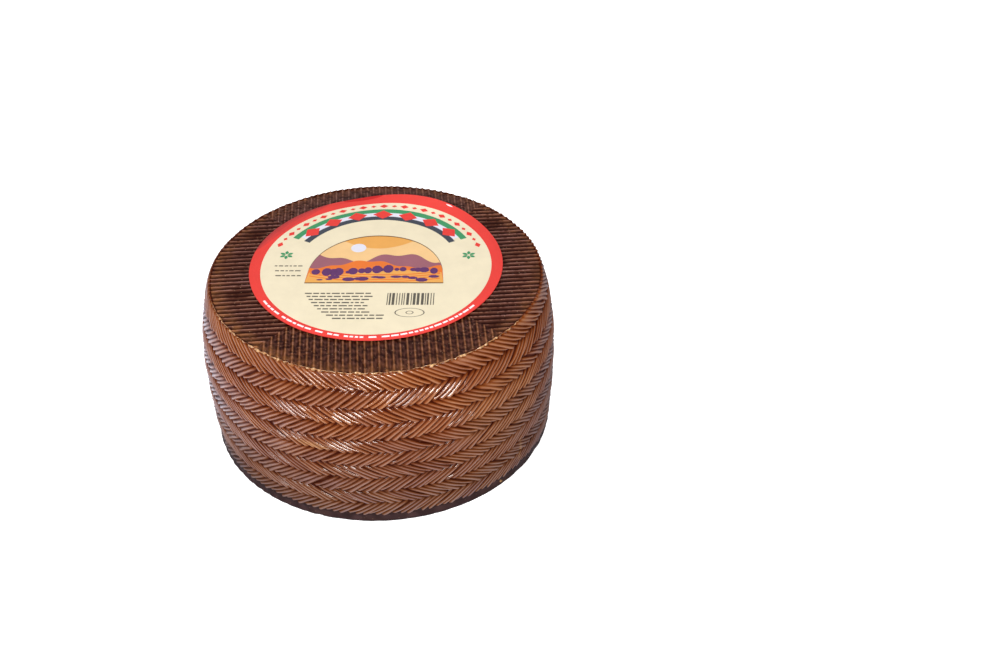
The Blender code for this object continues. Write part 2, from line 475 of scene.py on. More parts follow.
def markSum(title, angle, height):
    return sum(mark[title] * markShare(mark, angle, height) for mark in marks)


def bandFloor(band):
    pairs, upper = divmod(band, 2)
    pairHeight = (wheelHeight - plait["shoulderDrop"] - plait["footStrip"]) / (plait["bands"] / 2)
    return plait["footStrip"] + (pairs + upper * plait["risingShare"]) * pairHeight


def borderLine(band, angle):
    # the border below a band, which is never quite level
    wave = np.sin(2.0 * angle + band * 1.3) + 0.5 * np.sin(5.0 * angle + band)
    return bandFloor(band) + plait["borderWave"] * wave * (band < plait["bands"])


def strandColumns():
    # each column's place across a strand, from 0 to 1
    ridges, share = plait["ridges"], plait["ridgeShare"]
    places = [(ridge + part) / ridges * share
              for ridge in range(ridges) for part in plait["ridgeColumns"]]
    return np.array(places + [share + (1.0 - share) * part for part in plait["gapColumns"]])


def makeBand(band):
    kind = band % 2                   # 0 rises to the right, 1 falls
    isTop = band == plait["bands"] - 1
    strands, shift = plait["strands"][kind], plait["shift"][kind]
    places = strandColumns()
    rows = np.array(plait["lowerRows"] + plait["topRows" if isTop else "upperRows"])
    rng = np.random.default_rng(plait["seed"] + band)
    lower = rng.uniform(0.5, 1.3, strands) * plait["strandUneven"]
    slip = rng.normal(0.0, plait["sideSlip"], strands)
    bend = rng.normal(0.0, plait["bend"], strands)
    toneOf = rng.uniform(0.0, 1.0, strands)
    mean, spread, most = plait["worn"]
    worn = np.clip(rng.normal(mean, spread, strands), 0.0, most)
    eachRidge = (strands, plait["ridges"] + 1)
    ridgeLow = rng.uniform(0.0, plait["ridgeUneven"], eachRidge)
    phase = rng.uniform(0.0, math.tau, eachRidge)
    endSlip = rng.uniform(-plait["endSlip"], plait["endSlip"], eachRidge)

    def shape(column, row):
        strand, part = np.divmod(column, len(places))
        across = places[part]
        share, inward = rows[row, 0], rows[row, 1] * mm
        body = inward < 3.0 * mm
        spot = across / plait["ridgeShare"] * plait["ridges"]
        ridge = np.minimum(spot.astype(int), plait["ridges"])
        along = spot - ridge
        onRidge = ridge < plait["ridges"]
        fine = np.where(onRidge, np.abs(2.0 * along - 1.0) ** plait["ridgePower"], 1.0)
        upward = smoothStep(0.1, 0.95, share)
        ends = plait["ridgeDepth"]
        upperDepth = 0.5 * (ends[0] + ends[1]) if isTop else ends[1]
        depth = ends[0] + (upperDepth - ends[0]) * upward
        depth = depth * (1.0 - worn[strand] * smoothStep(0.25, 0.75, share))
        gap = plait["gapDepth"][0] + (plait["gapDepth"][1] - plait["gapDepth"][0]) * upward
        middle = part >= len(places) - len(plait["gapColumns"]) + 1
        press = np.where(onRidge, depth * fine, np.where(middle, gap, 0.5 * (depth + gap)))
        proud = across if kind == 0 else 1.0 - across
        press = press + plait["tilt"] * (1.0 - proud)
        press = press + lower[strand] + ridgeLow[strand, ridge]
        press = press + plait["waver"] * np.sin(share * plait["waverPace"] + phase[strand, ridge])

        turn = shift * share + slip[strand] + bend[strand] * share * (1.0 - share)
        angle = (strand + across + turn) / strands * math.tau + band * plait["bandTurn"]
        floor, ceiling = borderLine(band, angle), borderLine(band + 1, angle)
        height = floor + share * (ceiling - floor)
        lean = 1.0 if kind == 0 else -1.0
        slide = lean * plait["stagger"] * (1.0 - 2.0 * across) + endSlip[strand, ridge]
        height = height + smoothStep(0.45, 0.0, share) * slide
        height = height + smoothStep(0.30, 0.0, share) * plait["tip"] * fine
        height = np.minimum(height, wheelHeight - plait["clearTop"])
        cut = markSum("cut", angle, height)
        smear = markSum("smear", angle, height)
        sink = np.where(body, press + inward + cut * mm, inward)
        spots = around(angle, plait["noiseRadius"], height)
        dents = np.clip(1.0 + softNoise(spots, form["dentLength"], 3), 0.0, None)
        dents = form["dents"] * dents * 0.5
        radius = sideRadius(height) + ovalOf(angle, height) - dents - sink
        # colour follows the relief: painted highlight on the crests, painted shade in the grooves
        # and where the rind is pressed in deeper
        dark = plait["grooveShade"] * fine * (1.0 - 0.30 * upward)
        dark = dark * (1.0 - 0.7 * worn[strand] * upward)
        relief = 1.0 - dark - 0.5 * (press - depth * fine) / mm - 0.7 * inward / mm - cut
        relief = np.where(body, np.clip(relief, 0.0, 1.0), 0.0)
        values = {"relief": relief, "gloss": relief ** plait["glossPower"], "tone": toneOf[strand],
                  "smear": np.clip(smear * relief * plait["markGain"], 0.0, 1.0)}
        return around(angle, radius, height), values

    return rollUp(strands * len(places), len(rows), shape)


foot = {
    "columns": 720,
    "rounding": 3.6 * mm,
    # rows from beneath the lowest band down: height and how far in from the crests, in mm
    "rows": ((9.4, 2.4), (8.6, 1.7), (7.8, 1.15), (7.0, 0.85), (6.1, 0.62), (5.2, 0.48),
             (4.3, 0.38)),
    "turns": (90.0, 75.0, 60.0, 45.0, 30.0, 15.0, 0.0),
    # unseen rows that close it inside: mm in from the foot's flat edge, and height
    "closing": ((1.2, 1.0), (5.0, 3.0), (5.0, 9.4)),
    "lump": 0.20 * mm,
    "lumpLength": 7.0 * mm,
    "lumpRise": 0.15 * mm,        # under the foot
    "toneLength": 16.0 * mm,
    "noiseRadius": 92.0 * mm,
    "gloss": 0.5,
}


def makeFoot():
    # the smooth strip below the plait, round the foot and a little way under it
    profile = [(float(sideRadius(height * mm)) - inward * mm, height * mm)
               for height, inward in foot["rows"]]
    baseRadius = float(sideRadius(foot["rounding"])) - foot["rounding"]
    for turn in foot["turns"]:
        angle = math.radians(turn)
        profile.append((baseRadius + foot["rounding"] * math.sin(angle),
                        foot["rounding"] * (1.0 - math.cos(angle))))
    profile += [(baseRadius - inward * mm, height * mm) for inward, height in foot["closing"]]
    profile = np.array(profile)

    def shape(column, row):
        angle = column / foot["columns"] * math.tau
        radius, height = profile[row, 0], profile[row, 1]
        spots = around(angle, foot["noiseRadius"], height)
        lumps = softNoise(spots, foot["lumpLength"], 5, 11)
        seen = row < len(foot["rows"]) + len(foot["turns"])
        radius = radius + ovalOf(angle, height) - np.where(seen, foot["lump"] * (0.2 + lumps), 0.0)
        under = seen & (height < foot["rounding"])
        height = np.where(under, height + foot["lumpRise"] * np.abs(lumps), height)
        smear = markSum("smear", angle, height)
        # darker up in the shade of the plait
        relief = 0.55 + 0.25 * lumps - 0.08 * profile[row, 1] / mm * (row < 4)
        values = {
            "relief": np.clip(relief, 0.0, 1.0),
            "gloss": np.full(len(angle), foot["gloss"]),
            "tone": np.clip(0.5 + 0.4 * softNoise(spots, foot["toneLength"], 9), 0.0, 1.0),
            "smear": np.clip(smear, 0.0, 1.0),
        }
        return around(angle, radius, height), values

    return meshOf("footStrip", rollUp(foot["columns"], len(profile), shape))


# the pressed top and base: four mitred fields of straight ridges

press = {
    "pitch": 3.6 * mm,
    "turn": math.radians(5.5),
    "centre": (0.0, 0.4 * mm),
    "cellsAcross": 6,             # mesh columns to one ridge
    "cellsAlong": 46,
    "topRadius": 88.7 * mm,
    "baseRadius": 91.0 * mm,
    "depth": 0.95 * mm,
    "sharpCrest": 1.4,            # front and back fields: thin crests, broad grooves
    "fullCrest": 2.2,             # left and right fields: broad dark grooves
    "wobble": 0.09 * mm,          # no ridge is quite straight
    "wobbleLength": 6.0 * mm,
    "dropShare": 0.22,            # of its height, that a ridge may be lower than the rest
    "notchLengths": (4.6 * mm, 7.3 * mm),
    "notchRange": (0.25, 0.95),
    "notchShares": (0.60, 0.25),  # in the front and back fields, in the side fields
    "wornLength": 22.0 * mm,
    "wornShare": 0.30,
    "swell": 0.15 * mm,
    "swellLength": 60.0 * mm,
    "edgeDrop": 0.25 * mm,
    "edgeWidth": 1.2 * mm,
    "tooth": 0.6 * mm,            # the ridges' ends stand out over the side
    "toothFrom": 2.4 * mm,
    "blotchLength": 3.6 * mm,
    "flankShade": (0.52, 0.27),        # painted shade on a crest's flank: its place and its width
    "glossSide": 0.27,
    "glossFront": 0.70,
    "goldCrest": 0.5,
    "goldAngle": math.radians(-128.0),
    "goldSpread": 0.9,
    "goldWidth": 11.0 * mm,
    "goldLength": 6.0 * mm,
    "goldMost": 0.85,
    "toneLength": 30.0 * mm,
    "skirt": 1.8 * mm,
    "halfCount": 64,              # more than the ridges on either side of the middle
    "seed": 31,
}


def faceMesh(name, radius):
    # flat, with columns along each field's ridges and a short skirt down into the wheel
    centre = Vector((*press["centre"], 0.0))
    step = press["pitch"] / press["cellsAcross"]
    bm = bmesh.new()
    for field in range(4):
        turn = Matrix.Rotation(press["turn"] + field * math.pi / 2.0, 3, "Z")
        outward, sideways = turn @ Vector((1.0, 0.0, 0.0)), turn @ Vector((0.0, 1.0, 0.0))

        def runOut(start, direction):
            # length from a point to the face's round edge
            reach = start.dot(direction)
            return math.sqrt(max(radius ** 2 - start.length_squared + reach ** 2, 0.0)) - reach

        corners = [runOut(centre, (outward + sideways * sign).normalized()) / math.sqrt(2.0)
                   for sign in (-1.0, 1.0)]
        cells = math.ceil(max(corners) / step)
        grid = bmesh.ops.create_grid(bm, x_segments=cells * 2, y_segments=press["cellsAlong"],
                                     size=1.0)
        for vert in grid["verts"]:
            wanted = round(vert.co.x * cells) * step
            limit = corners[0] if wanted < 0.0 else corners[1]
            offset = math.copysign(min(abs(wanted), limit), wanted)
            start = centre + sideways * offset + outward * abs(offset)
            vert.co = start + outward * runOut(start, outward) * (vert.co.y + 1.0) / 2.0
    bmesh.ops.remove_doubles(bm, verts=bm.verts, dist=0.02 * mm)
    bmesh.ops.dissolve_degenerate(bm, edges=bm.edges, dist=0.01 * mm)
    rim = [edge for edge in bm.edges if edge.is_boundary]
    skirt = bmesh.ops.extrude_edge_only(bm, edges=rim)
    low = [item for item in skirt["geom"] if isinstance(item, bmesh.types.BMVert)]
    bmesh.ops.translate(bm, verts=low, vec=(0.0, 0.0, -press["skirt"]))
    bmesh.ops.holes_fill(bm, edges=[edge for edge in bm.edges if edge.is_boundary], sides=0)
    bmesh.ops.recalc_face_normals(bm, faces=bm.faces)
    return meshOf(name, bm)


def makeFace(name, radius, level, facing, crestSeed):
    # facing 1 is the top face, -1 the base; level is the height of the ridges' crests
    mesh = faceMesh(name, radius)
    points = readPoints(mesh)
    spread = points[:, :2] - np.array(press["centre"])
    cos, sin = math.cos(press["turn"]), math.sin(press["turn"])
    alongX = spread[:, 0] * cos + spread[:, 1] * sin
    alongY = -spread[:, 0] * sin + spread[:, 1] * cos
    sideField = np.abs(alongX) > np.abs(alongY)
    across = np.where(sideField, alongY, alongX)
    along = np.where(sideField, alongX, alongY)
    wobble = press["wobble"] * softNoise(points, press["wobbleLength"], crestSeed + 14)
    phase = (across + wobble) / press["pitch"]
    line = np.abs((phase % 1.0) - 0.5) * 2.0      # 1 on a crest, 0 between two
    crest = np.where(sideField, line ** press["fullCrest"], line ** press["sharpCrest"])

    # each ridge has its own height and its own notches
    ridge = np.rint(phase).astype(int) + press["halfCount"]
    rng = np.random.default_rng(press["seed"] + crestSeed)
    shake = rng.uniform(0.0, math.tau, (2, press["halfCount"] * 2))
    drop = rng.uniform(0.0, press["dropShare"], (2, press["halfCount"] * 2))
    which = sideField.astype(int)
    turnOf = shake[which, ridge]
    first, second = press["notchLengths"]
    notch = np.sin(along * math.tau / first + turnOf)
    notch = notch * np.sin(along * math.tau / second + turnOf * 2.0)
    notch = smoothStep(*press["notchRange"], notch) * np.array(press["notchShares"])[which]
    worn = softNoise(points, press["wornLength"], crestSeed + 4)
    worn = smoothStep(0.5, 1.6, worn) * press["wornShare"]
    high = crest * (1.0 - drop[which, ridge] - notch - worn)
    distance = np.hypot(points[:, 0], points[:, 1])
    edge = (distance - (radius - press["edgeWidth"])) / press["edgeWidth"]
    edge = np.clip(edge, 0.0, 1.0)
    sink = press["depth"] * (1.0 - high) + press["edgeDrop"] * edge ** 2
    swell = 1.0 + softNoise(points, press["swellLength"], crestSeed + 8)
    swell = press["swell"] * swell * 0.5
    inSkirt = points[:, 2] < -0.5 * press["skirt"]
    floor = press["skirt"] + press["edgeDrop"]
    points[:, 2] = level - np.where(inSkirt, floor, sink + np.clip(swell, 0.0, None)) * facing
    angle = np.arctan2(points[:, 1], points[:, 0])
    tooth = press["tooth"] * (high - 0.4)
    tooth = tooth * smoothStep(radius - press["toothFrom"], radius, distance)
    fit = 1.0 + (ovalOf(angle, level) + tooth) / radius
    points[:, 0] *= fit
    points[:, 1] *= fit
    writePoints(mesh, points)
    if facing < 0:
        mesh.flip_normals()

    # front and back: painted highlight and gold on the crests, painted shade on their flanks
    # mottled with dark blotches, glossy mauve floors between
    inFront = points[:, 1] < 0.0
    blotch = smoothStep(-0.5, 0.6, softNoise(points, press["blotchLength"], crestSeed + 16, 12))
    blotch = blotch * np.where(inFront, 1.0, 0.4)
    flankAt, flankWidth = press["flankShade"]
    flankShade = np.exp(-((line - flankAt) / flankWidth) ** 2) * (0.30 + 0.70 * blotch)
    broad = 0.60 + 0.25 * line ** 6 - 0.60 * flankShade - 0.25 * blotch - 1.2 * notch - 0.3 * worn
    broad = np.clip(broad, 0.0, 1.0)
    # left and right fields: painted highlight on the crests, painted shade in the grooves and where
    # the edge drops
    narrow = np.clip(high * 1.1 - 0.10 * edge, 0.0, 1.0)
    writeValue(mesh, "relief", np.where(sideField, narrow, broad))
    broadGloss = (0.25 + 0.75 * broad) * np.where(inFront, press["glossFront"], 1.0)
    writeValue(mesh, "gloss", np.where(sideField, press["glossSide"] * narrow, broadGloss))

    # golden towards the rim, most of all at the front left, and on the front crests
    aside = turnTo(angle, press["goldAngle"]) / press["goldSpread"]
    front = 0.35 + 0.65 * np.exp(-aside ** 2)
    gold = smoothStep(radius - press["goldWidth"], radius, distance) * front
    gold = gold * (0.55 + 0.45 * softNoise(points, press["goldLength"], crestSeed + 12))
    gold = gold * (0.20 + 0.80 * line ** 2)
    onCrest = press["goldCrest"] * line ** 7 * (1.0 - notch)
    gold = np.maximum(gold, np.where(inFront & ~sideField, onCrest, 0.0))
    writeValue(mesh, "smear", np.clip(gold, 0.0, press["goldMost"]) * (facing > 0))
    tone = 0.5 + 0.5 * softNoise(points, press["toneLength"], crestSeed + 6)
    writeValue(mesh, "tone", np.clip(tone, 0.0, 1.0))
    return place(name, mesh, topRind, "cheese_wheel")


burr = {
    "start": math.radians(-72.0), # angles from the front
    "stop": math.radians(62.0),
    "columns": 460,
    "sides": 7,
    "radius": 88.35 * mm,
    "level": 96.72 * mm,
    "thick": 0.68 * mm,
    "thinnest": 0.03 * mm,
    "ragged": 0.28 * mm,
    "waveLength": 2.6 * mm,
    "tornLength": 8.0 * mm,
    "riseLength": 4.0 * mm,
    "heavyAt": math.radians(-22.0),
    "heavySpread": 0.26,
    "heavyGain": 0.6,
    "fades": (0.06, 0.94),        # shares of its length where it has its full thickness
    "gloss": 0.5,
}


def makeBurr():
    # a thin ragged line of pressed-out rind along the front of the rim
    rows, sides = burr["columns"], burr["sides"]

    def shape(column, row):
        share = row / (rows - 1.0)
        turned = burr["start"] + (burr["stop"] - burr["start"]) * share
        angle = turned - math.pi / 2.0
        spots = around(angle, burr["radius"], np.zeros(len(angle)))
        wave = softNoise(spots, burr["waveLength"], 41)
        torn = smoothStep(-0.8, 0.8, softNoise(spots, burr["tornLength"], 43)) * 0.8 + 0.2
        aside = (turned - burr["heavyAt"]) / burr["heavySpread"]
        heavy = 1.0 + burr["heavyGain"] * np.exp(-aside ** 2)
        crumbs = 0.65 + 0.35 * np.sign(wave) * np.abs(wave) ** 0.5
        fadeIn, fadeOut = burr["fades"]
        thick = burr["thick"] * torn * crumbs * heavy
        thick = thick * smoothStep(0.0, fadeIn, share) * smoothStep(1.0, fadeOut, share)
        thick = np.maximum(thick, burr["thinnest"])
        turn = column / sides * math.tau
        radius = burr["radius"] + ovalOf(angle, burr["level"])
        radius = radius + burr["ragged"] * wave + thick * np.cos(turn)
        rise = burr["ragged"] * softNoise(spots, burr["riseLength"], 47)
        height = burr["level"] + rise + thick * np.sin(turn)
        values = {"relief": np.clip(0.6 + 0.3 * wave, 0.0, 1.0),
                  "gloss": np.full(len(angle), burr["gloss"]), "tone": 0.5 - 0.5 * torn}
        return around(angle, radius, height), values

    return meshOf("burr", rollUp(sides, rows, shape, closed=False))


print("wheel")
for start, title in enumerate(("risingPlait", "fallingPlait")):
    bands = [makeBand(band) for band in range(start, plait["bands"], 2)]
    place(title, joined(title, bands), sideRind, "cheese_wheel")
place("footStrip", makeFoot(), footRind, "cheese_wheel")
makeFace("rindTop", press["topRadius"], wheelHeight, 1, 1)
makeFace("rindBase", press["baseRadius"], 0.0, -1, 2)
place("burr", makeBurr(), burrRind, "cheese_wheel")

# the round paper label and its print

sheet = {
    "centre": (-0.2 * mm, 6.3 * mm),
    "radius": 68.7 * mm,
    "top": 0.3 * mm,              # above the solid's lowest side
    "thick": 0.15 * mm,
    # the print on the cut edge: mm out from the paper's radius, mm down from its top
    "edgeBand": ((-0.12, -0.04), (0.03, -0.04), (0.03, 0.19), (-0.12, 0.19)),
    "columns": 240,
    "rings": (0.0, 0.12, 0.24, 0.36, 0.48, 0.58, 0.66, 0.72, 0.77, 0.82, 0.87, 0.90,
              0.92, 0.935, 0.95, 0.96, 0.97, 0.98, 0.99, 1.0),
    "wave": 0.05 * mm,
    "waveLength": 42.0 * mm,
    "curl": 0.28 * mm,            # the edge turns down to the rind
    "curlFrom": 0.95,
    "lift": 2.7 * mm,             # at the back right the edge has come up
    "liftAngle": math.radians(68.0),
    "liftSpread": math.radians(46.0),
    "liftFrom": 0.66,
    "creaseAngle": math.radians(107.0),
    "creaseSpread": math.radians(8.0),
    "crease": 0.45 * mm,
    "creaseFrom": 0.88,
    "paper": (0.76, 0.68, 0.49),
    "inkThick": 0.02 * mm,
}
sheetTop = labelBottom + sheet["top"]


def paperTop(x, y):
    # height of the paper's upper side, at a place measured from the label's middle
    reach = np.hypot(x, y) / sheet["radius"]
    angle = np.arctan2(y, x)
    outward = np.clip((reach - sheet["liftFrom"]) / (1.0 - sheet["liftFrom"]), 0.0, 1.0)
    aside = np.clip(np.abs(turnTo(angle, sheet["liftAngle"])) / sheet["liftSpread"], 0.0, 1.0)
    lifted = np.cos(aside * math.pi / 2.0) ** 2
    lift = sheet["lift"] * outward ** 2 * lifted
    fold = np.exp(-(turnTo(angle, sheet["creaseAngle"]) / sheet["creaseSpread"]) ** 2)
    crease = sheet["crease"] * fold * smoothStep(sheet["creaseFrom"], 1.0, reach) * (0.3 + lifted)
    curl = sheet["curl"] * smoothStep(sheet["curlFrom"], 1.0, reach) * (1.0 - lifted)
    spots = np.stack([x, y, np.zeros(len(x))], axis=1)
    wave = sheet["wave"] * softNoise(spots, sheet["waveLength"], 61)
    return sheetTop + lift - crease - curl + wave


def makePaper():
    rings = list(sheet["rings"])
    reaches = np.array(rings + rings[::-1])

    def shape(column, row):
        angle = column / sheet["columns"] * math.tau
        reach = reaches[row] * sheet["radius"]
        points = around(angle, reach, np.zeros(len(angle)))
        drop = np.where(row < len(rings), 0.0, sheet["thick"])
        points[:, 2] = paperTop(points[:, 0], points[:, 1]) - drop
        points[:, :2] += sheet["centre"]
        return points, {}

    return meshOf("labelPaper", rollUp(sheet["columns"], len(reaches), shape, closed=False))


def makeRingEdge():
    # the ring's print runs over the paper's cut edge
    outward, drops = np.array(sheet["edgeBand"]).T * mm
    reaches = sheet["radius"] + outward

    def shape(column, row):
        angle = column / sheet["columns"] * math.tau
        points = around(angle, reaches[row], np.zeros(len(angle)))
        points[:, 2] = paperTop(points[:, 0], points[:, 1]) - drops[row]
        points[:, :2] += sheet["centre"]
        return points, {}

    return meshOf("ringEdge", rollUp(sheet["columns"], len(reaches), shape))


# rules that bend a square from -1 to 1 into a shape, in mm from the label's middle

def bar(x, y, width, height, turn=0.0):
    cos, sin = math.cos(math.radians(turn)), math.sin(math.radians(turn))
    return lambda u, v: (x + u * width / 2 * cos - v * height / 2 * sin,
                         y + u * width / 2 * sin + v * height / 2 * cos)


def lozenge(x, y, width, height, turn=0.0):
    square = bar(x, y, width, height, turn)
    return lambda u, v: square((u - v) / 2.0, (u + v) / 2.0)


def arc(inner, outer, start, stop, x=0.0, y=0.0, flat=1.0):
    # from one angle to another, in degrees; flat squashes it to an oval
    def rule(u, v):
        angle = math.radians(start + (stop - start) * (u + 1.0) / 2.0)
        radius = inner + (outer - inner) * (v + 1.0) / 2.0
        return x + radius * math.cos(angle), y + radius * math.sin(angle) * flat
    return rule


def between(low, high, left, right):
    # from one curve up to another
    def rule(u, v):
        x = left + (right - left) * (u + 1.0) / 2.0
        bottom, top = low(x), max(low(x), high(x))
        return x, bottom + (top - bottom) * (v + 1.0) / 2.0
    return rule


def leaf(x, y, length, width, turn):
    # from its stem outwards, pointed at both ends
    cos, sin = math.cos(math.radians(turn)), math.sin(math.radians(turn))

    def rule(u, v):
        a = length * (u + 1.0) / 2.0
        b = v * width / 2.0 * (1.0 - u * u)
        return x + a * cos - b * sin, y + a * sin + b * cos
    return rule


def printInk(name, colour, shapes, level):
    # shapes of one colour as closed films on the paper: rule, cells across, cells along
    bm = bmesh.new()
    for rule, across, along in shapes:
        grid = bmesh.ops.create_grid(bm, x_segments=across, y_segments=along, size=1.0)
        for vert in grid["verts"]:
            x, y = rule(vert.co.x, vert.co.y)
            vert.co = (x * mm, y * mm, 0.0)
    bmesh.ops.remove_doubles(bm, verts=bm.verts, dist=0.004 * mm)
    bmesh.ops.dissolve_degenerate(bm, edges=bm.edges, dist=0.004 * mm)
    raised = bmesh.ops.extrude_face_region(bm, geom=bm.faces[:], use_keep_orig=True)
    top = [item for item in raised["geom"] if isinstance(item, bmesh.types.BMVert)]
    bmesh.ops.translate(bm, verts=top, vec=(0.0, 0.0, sheet["inkThick"]))
    bmesh.ops.recalc_face_normals(bm, faces=bm.faces)
    mesh = meshOf(name, bm)
    points = readPoints(mesh)
    points[:, 2] += paperTop(points[:, 0], points[:, 1]) + level * mm - sheet["inkThick"]
    points[:, :2] += sheet["centre"]
    writePoints(mesh, points)
    ink = paperMaterial(name, grainGroup, colour, paperLook)
    place(name, mesh, ink, "label")
    mesh.shade_flat()


artwork = {
    # lengths in mm and angles in degrees
    "ring": (62.5, 68.65),        # inner and outer radius
    "ringShift": (0.1, -1.8),     # the ring isn't printed quite centrally
    "shadeArc": (118.0, 170.0),   # where the edge bends away from the light
    "shadeWidths": (6.0, 3.3, 1.5),
    # painted shade where the paper creases at the back
    "foldShadeArc": (91.0, 111.0),
    "foldShadeWidth": 3.4,
    "dashArc": (-148.0, -34.0),
    "dashRadii": (65.7, 66.8),
    "dashMiddle": 65.0,
    "dashLengths": (1.6, 4.4),
    "dashGaps": (0.8, 2.6),
    "wideGapShare": 0.22,
    "nick": (35.9, 57.2, 5.0, 1.0, -36.0),    # place, length, width and turn
    "ribbon": (43.5, 54.5),
    "ribbonEnds": (30.0, 150.0),
    "ribbonFork": 3.0,
    "lozenges": 7,
    "lozengeSize": (8.6, 11.5),
    "beads": 25,
    "beadRadius": 57.6,
    "beadEnds": (18.0, 162.0),
    "beadSizes": (3.4, 2.2),
    "medallion": (37.0, -19.0, 46.0),         # half width, level of its foot, height of its arch
    "sun": (4.2, -11.0, 33.5),    # radius, place over the medallion's foot
    "trees": 17,
    "shrubs": 13,
    "furrows": 4,
    "rowStep": 2.75,              # between the rows of small dashes
    "smallGap": 0.8,
    "flower": (50.0, 7.5),
    "petals": 6,
    "red": (0.72, 0.045, 0.034),
    "shades": ((0.60, 0.042, 0.036), (0.51, 0.040, 0.036), (0.42, 0.038, 0.036)),
    "foldShadeRed": (0.55, 0.010, 0.008),
    "green": (0.045, 0.27, 0.11),
    "slate": (0.045, 0.055, 0.075),
    "lilac": (0.70, 0.70, 0.80),
    "sky": (0.74, 0.36, 0.085),
    "glow": (0.80, 0.52, 0.24),
    "orange": (0.72, 0.17, 0.025),
    "purple": (0.105, 0.03, 0.125),
    "mauve": (0.30, 0.11, 0.14),
    "brown": (0.16, 0.09, 0.04),
    "text": (0.10, 0.09, 0.07),
    "white": (0.82, 0.82, 0.84),
    "seed": 77,
}


def ringOf(inner, outer, start, stop):
    # the outer edge follows the paper, the inner one is printed a little off the middle
    shiftX, shiftY = artwork["ringShift"]

    def rule(u, v):
        angle = math.radians(start + (stop - start) * (u + 1.0) / 2.0)
        share = (v + 1.0) / 2.0
        radius = inner + (outer - inner) * share
        return (radius * math.cos(angle) + shiftX * (1.0 - share),
                radius * math.sin(angle) + shiftY * (1.0 - share))
    return rule


def rimShade(outer, width, start, stop):
    # a sliver along the paper's edge, pointed at both ends
    def rule(u, v):
        angle = math.radians(start + (stop - start) * (u + 1.0) / 2.0)
        radius = outer - width * (1.0 - u * u) ** 0.7 * (1.0 - v) / 2.0
        return radius * math.cos(angle), radius * math.sin(angle)
    return rule


def lozengeAt(radius, turn, width, height):
    spot = math.radians(turn)
    return lozenge(radius * math.cos(spot), radius * math.sin(spot), width, height, turn)


def printRing(rng):
    inner, outer = artwork["ring"]
    printInk("ringInk", artwork["red"], [(ringOf(inner, outer, 0.0, 360.0), 240, 12)], 0.03)
    for index, (width, shade) in enumerate(zip(artwork["shadeWidths"], artwork["shades"])):
        sliver = rimShade(outer, width, *artwork["shadeArc"])
        printInk(f"ringShade{index + 1}", shade, [(sliver, 40, 8)], 0.05 + 0.02 * index)
    # painted shade: a deep red sliver where the paper creases at the back
    fold = rimShade(outer, artwork["foldShadeWidth"], *artwork["foldShadeArc"])
    printInk("ringFoldShade", artwork["foldShadeRed"], [(fold, 24, 6)], 0.05)
    # dashes along the front, and a torn nick in the ring's edge
    angle, stop = artwork["dashArc"]
    narrow, wide = artwork["dashGaps"]
    dashes = []
    while angle < stop:
        length = rng.uniform(*artwork["dashLengths"])
        start = angle
        angle += math.degrees(length / artwork["dashMiddle"])
        dashes.append((arc(*artwork["dashRadii"], start, angle), 3, 1))
        gap = wide if rng.uniform() < artwork["wideGapShare"] else narrow
        angle += math.degrees(gap / artwork["dashMiddle"])
    dashes.append((leaf(*artwork["nick"]), 8, 2))
    printInk("ringDashes", artwork["white"], dashes, 0.05)


def printRibbon():
    # a ribbon over the medallion, in three stripes with forked ends, and a row of beads
    low, high = artwork["ribbon"]
    start, stop = artwork["ribbonEnds"]
    third, fork = (high - low) / 3.0, artwork["ribbonFork"]
    for title, colour, inner, outer, extra in (
        ("ribbonGreen", "green", high - third, high, fork),
        ("ribbonLilac", "lilac", low + third, high - third, 0.0),
        ("ribbonSlate", "slate", low, low + third, fork),
    ):
        stripe = arc(inner, outer, start - extra, stop + extra)
        printInk(title, artwork[colour], [(stripe, 48, 2)], 0.03)
    reds, middle = [], (low + high) / 2.0
    for index in range(artwork["lozenges"]):
        turn = start + (stop - start) * (index + 0.5) / artwork["lozenges"]
        reds.append((lozengeAt(middle, turn, *artwork["lozengeSize"]), 4, 4))
    first, last = artwork["beadEnds"]
    for index in range(artwork["beads"]):
        turn = first + (last - first) * index / (artwork["beads"] - 1.0)
        size = artwork["beadSizes"][index % 2]
        reds.append((lozengeAt(artwork["beadRadius"], turn, size, size * 1.5), 2, 2))
    printInk("redInk", artwork["red"], reds, 0.05)


